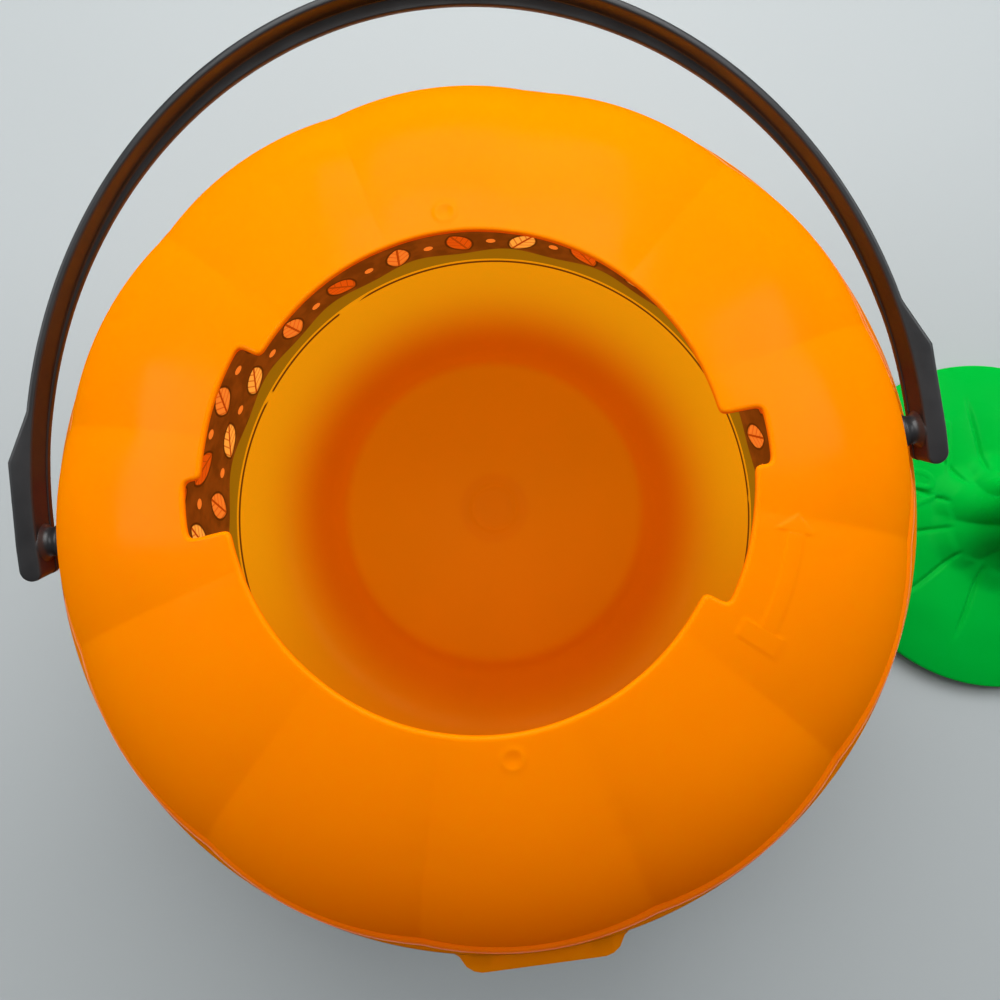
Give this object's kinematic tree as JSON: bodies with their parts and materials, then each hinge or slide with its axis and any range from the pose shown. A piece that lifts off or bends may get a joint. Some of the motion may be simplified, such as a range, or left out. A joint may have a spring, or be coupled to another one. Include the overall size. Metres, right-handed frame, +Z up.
{
  "type": "pumpkin candy pail",
  "caption": "Pumpkin-shaped candy pail with a straight-sided printed bowl, a lobed dome cover with a bayonet mouth, a swinging bail handle and a stemmed twist-off lid laid beside it.",
  "frame": {"origin": "on the floor, at the centre of the bowl's standing ring", "axes": "+Z up, X along the bail's pin axis, -Y towards the finger tab at the front; the bail leans back over +Y and the lid lies on the +X side"},
  "size_m": [0.342, 0.2212, 0.1795],
  "materials": {
    "amber_plastic": "glossy, slightly translucent amber",
    "printed_film": "printed film, satin",
    "orange_plastic": "glossy bright orange",
    "black_plastic": "satin black",
    "green_plastic": "glossy green"
  },
  "bodies": {
    "pail": {"bowl": "amber_plastic", "printed_sleeve": "printed_film"},
    "cover": {"dome_cover": "orange_plastic"},
    "bail": {"bail_handle": "black_plastic"},
    "lid": {"twist_lid": "green_plastic"}
  },
  "joints": [
    {"name": "cover_lift", "type": "slide", "parent": "pail", "child": "cover", "axis": [0, 0, 1], "range_m": [0, 0.06]},
    {"name": "handle_swing", "type": "hinge", "parent": "cover", "child": "bail", "pos_m": [0, 0, 0.1377], "axis": [1, 0, 0], "range_deg": [-13, 169]},
    {"name": "lid_lift", "type": "slide", "parent": "pail", "child": "lid", "axis": [0, 0, 1], "range_m": [0, 0.2]}
  ]
}
